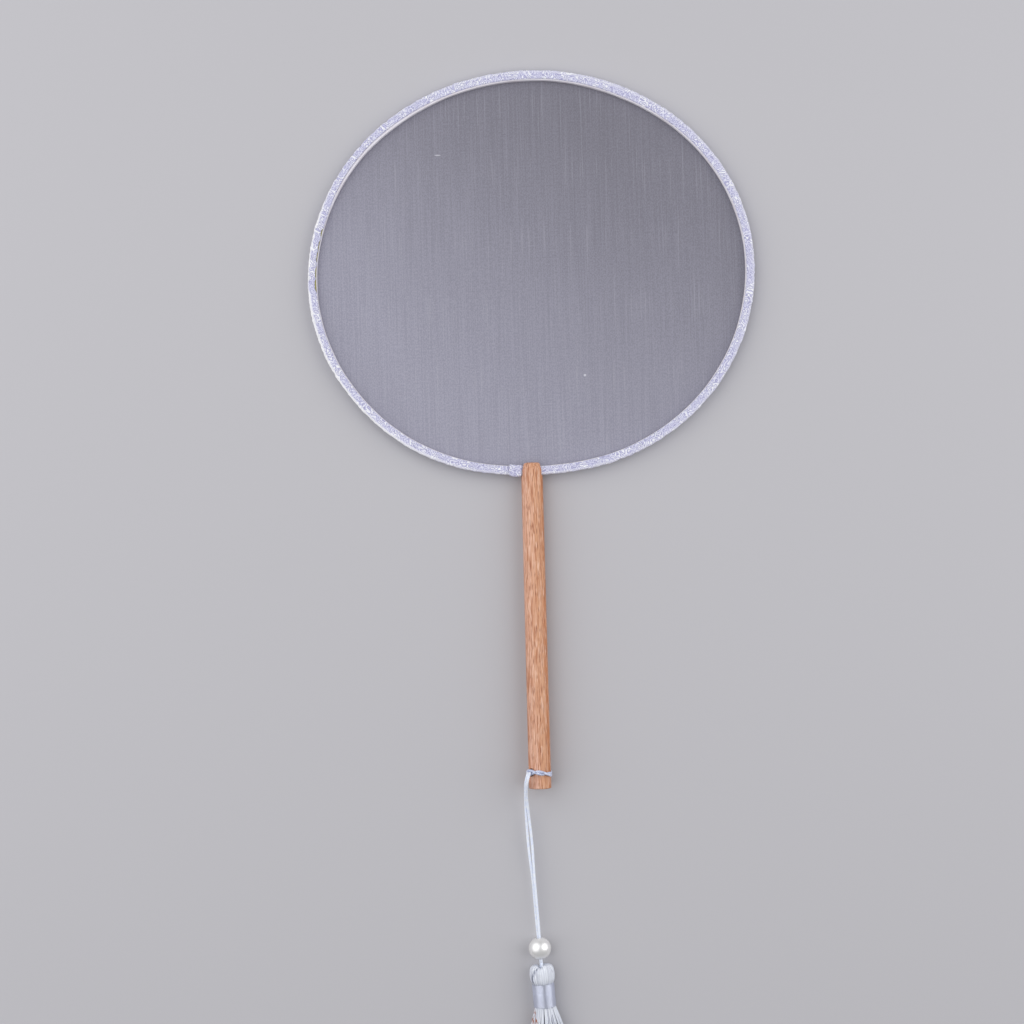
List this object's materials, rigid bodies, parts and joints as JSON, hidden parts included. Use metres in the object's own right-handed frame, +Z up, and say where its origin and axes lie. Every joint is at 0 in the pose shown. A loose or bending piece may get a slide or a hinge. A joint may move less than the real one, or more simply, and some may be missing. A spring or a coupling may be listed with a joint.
{
  "type": "round hand fan",
  "caption": "Oval hand fan lying on its back: silk stretched on a taped bamboo hoop, a turned wooden handle, and a doubled cord with a pearl bead and a thread tassel that swings.",
  "frame": {"origin": "on the table under the middle of the fan's box, cord and tassel left out", "axes": "+Y from the handle's end to the top of the oval, +Z up off the table, +X to the right seen from above"},
  "size_m": [0.2493, 0.6092, 0.0179],
  "materials": {
    "beech": "fine-sanded bare beech, satin",
    "bamboo": "bare split bamboo",
    "silk": "sheer plain-woven silk with fine slubs",
    "lining": "thin matt white strip",
    "tape": "pale lavender jacquard tape with small swirls",
    "cord": "smooth satin cord, pale blue-white",
    "pearl": "pearl lustre, glossy",
    "tassel": "silvery white rayon thread",
    "neck": "silver-white thread wound close, glossy"
  },
  "bodies": {
    "fan": {"handle": "beech", "hoop": "bamboo", "silk_panel": "silk", "inner_lining": "lining", "edge_binding": "tape", "binding_lap": "tape", "hitch_loop": "cord"},
    "cord": {"cord_strand_left": "cord", "cord_strand_right": "cord"},
    "bead": {"pearl_bead": "pearl"},
    "tassel": {"cord_end_loop": "cord", "tassel_threads": "tassel", "tassel_neck": "neck"}
  },
  "joints": [
    {"name": "cord_swing", "type": "hinge", "parent": "fan", "child": "cord", "pos_m": [-0.00834, -0.19098, 0.01447], "axis": [0, 0, 1], "range_deg": [-120, 8]},
    {"name": "bead_slide", "type": "slide", "parent": "cord", "child": "bead", "axis": [-0.0628, 0.998, 0], "range_m": [-0.001, 0.025]},
    {"name": "tassel_swing", "type": "hinge", "parent": "cord", "child": "tassel", "pos_m": [-0.0043, -0.29761, 0.0063], "axis": [0, 0, 1], "range_deg": [-25, 25]}
  ]
}
